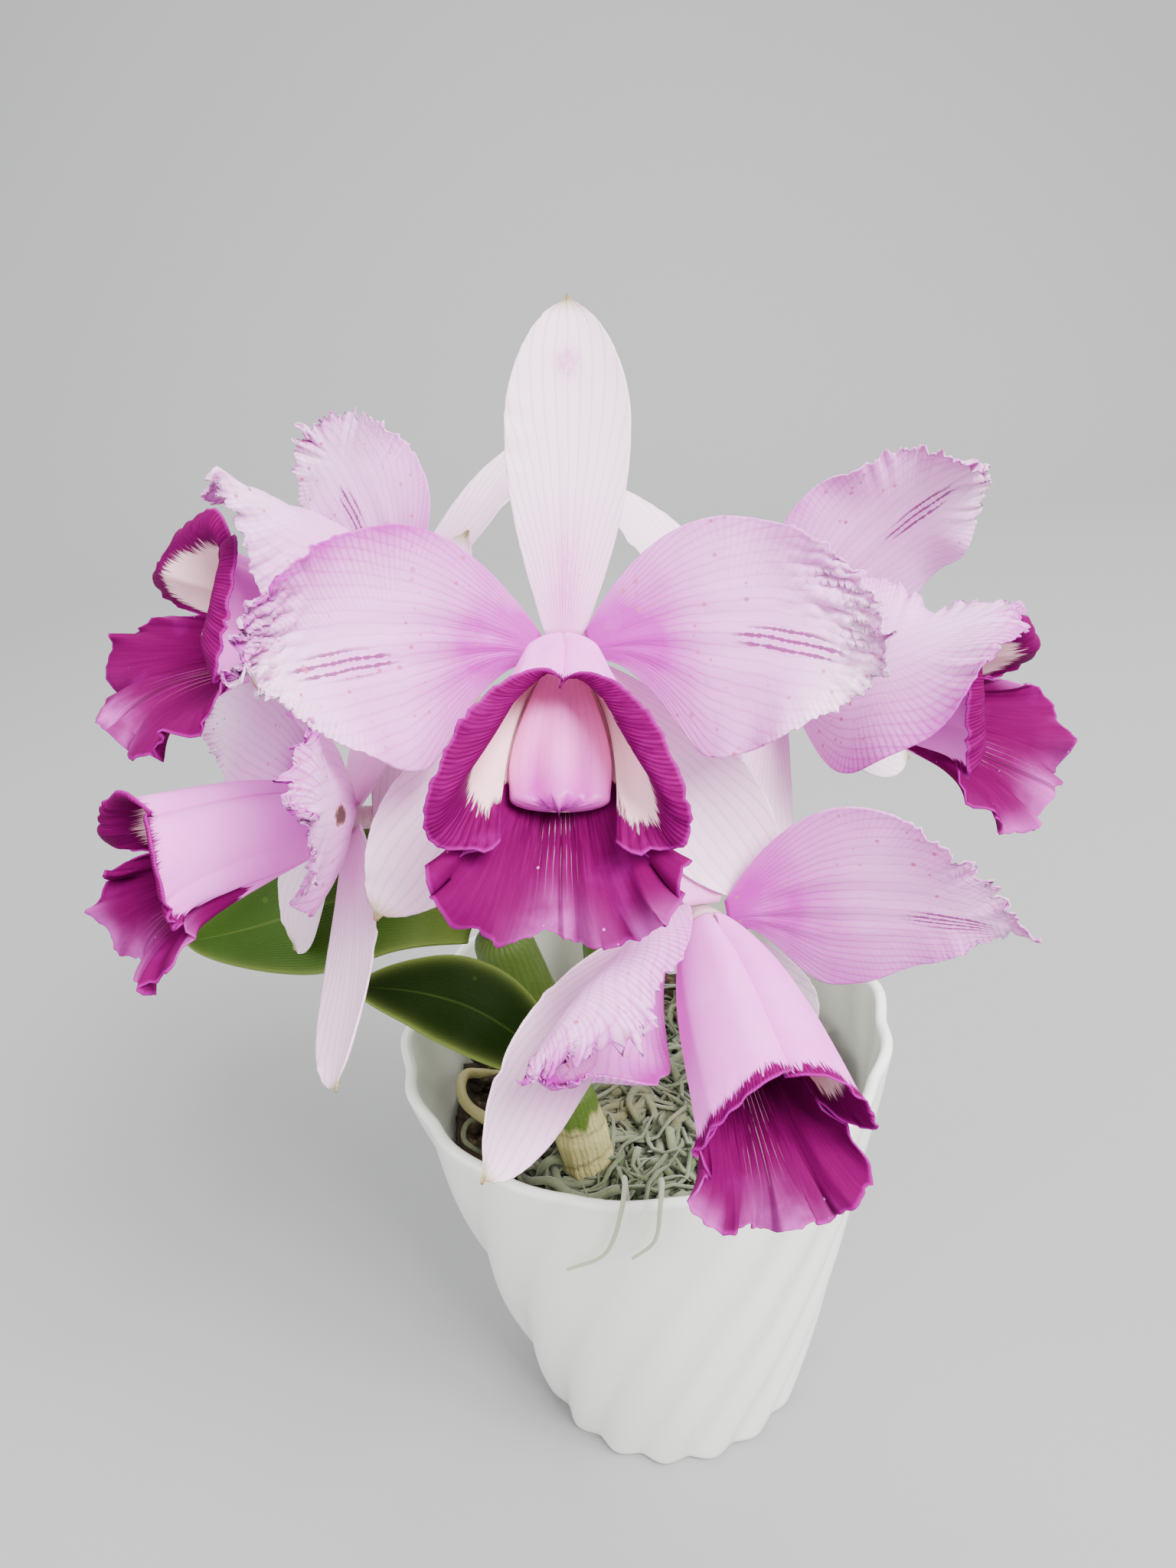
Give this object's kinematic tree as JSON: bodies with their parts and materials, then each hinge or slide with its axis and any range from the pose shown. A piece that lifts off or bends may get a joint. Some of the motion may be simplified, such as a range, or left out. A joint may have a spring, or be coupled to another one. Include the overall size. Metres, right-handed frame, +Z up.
{
  "type": "potted cattleya orchid",
  "caption": "Cattleya orchid in bloom: ruffled pale lilac flowers with magenta lips on one spike, strap leaves and moss, in a tapered spiral-fluted white pot.",
  "frame": {"origin": "centre of the pot's flat underside", "axes": "+Z up along the pot's axis, -Y the front that the largest bloom faces, +X to its right"},
  "size_m": [0.2077, 0.1808, 0.3057],
  "materials": {
    "pot": "satin white glaze, spiral fluted",
    "bark": "matt coarse bark",
    "moss": "matt grey-green strands",
    "bulb": "satin, tan to green",
    "leaf": "leathery, glossy",
    "sheath": "papery, matt",
    "spike": "satin",
    "sepal": "satin, near white",
    "petal": "satin, pale lilac",
    "lip": "satin, magenta with a pale outside",
    "column": "satin, pink"
  },
  "bodies": {
    "root": {"pot": "pot", "potting_bark": "bark", "spanish_moss": "moss", "rhizome_with_pseudobulbs": "bulb", "leaf_left": "leaf", "leaf_front": "leaf", "leaf_back": "leaf", "leaf_old": "leaf", "flower_sheath": "sheath", "flower_spike": "spike", "bloom_a_dorsal_sepal": "sepal", "bloom_a_lateral_sepal_left": "sepal", "bloom_a_lateral_sepal_right": "sepal", "bloom_a_petal_left": "petal", "bloom_a_petal_right": "petal", "bloom_a_lip": "lip", "bloom_a_column": "column", "bloom_b_dorsal_sepal": "sepal", "bloom_b_lateral_sepal_left": "sepal", "bloom_b_lateral_sepal_right": "sepal", "bloom_b_petal_left": "petal", "bloom_b_petal_right": "petal", "bloom_b_lip": "lip", "bloom_b_column": "column", "bloom_c_dorsal_sepal": "sepal", "bloom_c_lateral_sepal_left": "sepal", "bloom_c_lateral_sepal_right": "sepal", "bloom_c_petal_left": "petal", "bloom_c_petal_right": "petal", "bloom_c_lip": "lip", "bloom_c_column": "column", "bloom_d_dorsal_sepal": "sepal", "bloom_d_lateral_sepal_left": "sepal", "bloom_d_lateral_sepal_right": "sepal", "bloom_d_petal_left": "petal", "bloom_d_petal_right": "petal", "bloom_d_lip": "lip", "bloom_d_column": "column", "bloom_e_dorsal_sepal": "sepal", "bloom_e_lateral_sepal_left": "sepal", "bloom_e_lateral_sepal_right": "sepal", "bloom_e_petal_left": "petal", "bloom_e_petal_right": "petal", "bloom_e_lip": "lip", "bloom_e_column": "column"}
  },
  "joints": []
}
